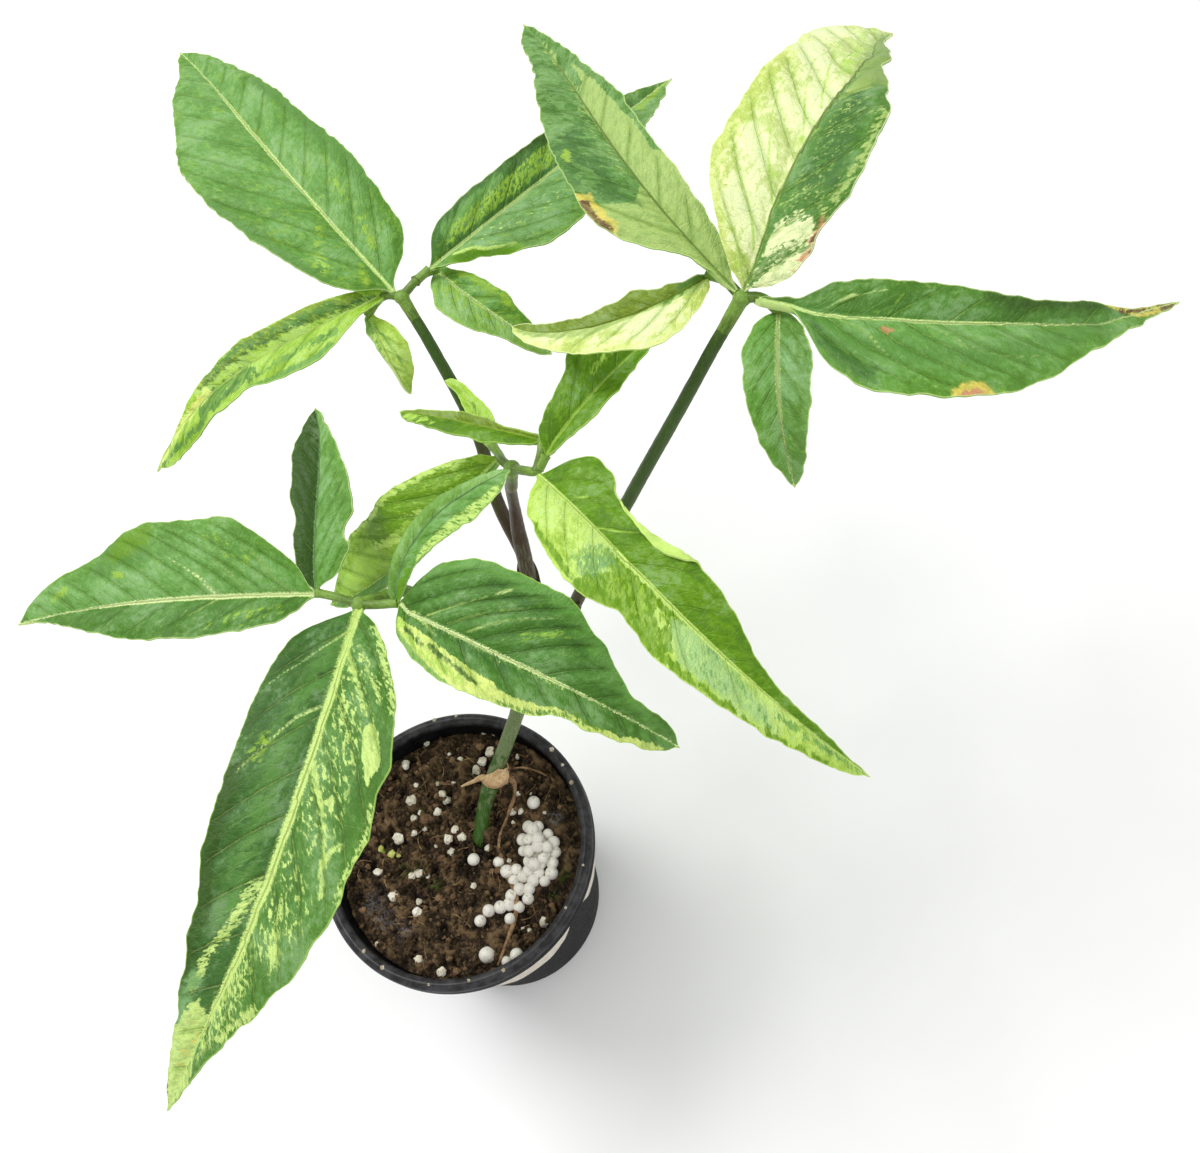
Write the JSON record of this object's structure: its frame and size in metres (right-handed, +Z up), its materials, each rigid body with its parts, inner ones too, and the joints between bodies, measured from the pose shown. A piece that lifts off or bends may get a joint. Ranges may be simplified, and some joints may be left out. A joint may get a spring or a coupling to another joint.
{
  "type": "potted syngonium",
  "caption": "Young arrowhead vine with variegated compound leaves on a leaning cane, growing from soil in a black tapered nursery pot.",
  "frame": {"origin": "centre of the pot's flat base, on the surface it stands on", "axes": "+Z up along the pot's axis; +Y away from the viewer, the picture's horizontal view direction; +X to the viewer's right"},
  "size_m": [0.3453, 0.342, 0.2828],
  "materials": {
    "pot": "moulded black plastic, worn satin",
    "paper_band": "off-white matt paper",
    "soil": "crumbly dark potting mix with fibres and white grains",
    "feed_beads": "off-white resin-coated beads",
    "cane": "grey-green waxy stem, purple-brown towards the top",
    "dry_sheath": "dry papery beige sheath",
    "dry_fibre": "dry brown fibre",
    "stalks": "dark green to purple-brown smooth leaf stalk",
    "leaf_back": "semi-gloss green leaf with lime mottles",
    "leaf_right": "semi-gloss dark green leaf with cream sectors and brown burnt spots",
    "leaf_centre": "glossy young bright green leaf with pale sectors",
    "leaf_front": "semi-gloss green leaf with feathered cream midribs"
  },
  "bodies": {
    "root": {"pot": "pot", "paper_band": "paper_band", "soil": "soil", "feed_bead_heap": "feed_beads", "feed_bead_trail": "feed_beads", "cane": "cane", "dry_sheath": "dry_sheath", "dry_fibre": "dry_fibre", "stalk_back": "stalks", "stalk_right": "stalks", "stalk_front": "stalks", "stalk_centre": "stalks", "leaf_back": "leaf_back", "leaf_right": "leaf_right", "leaf_centre": "leaf_centre", "leaf_front": "leaf_front"}
  },
  "joints": []
}
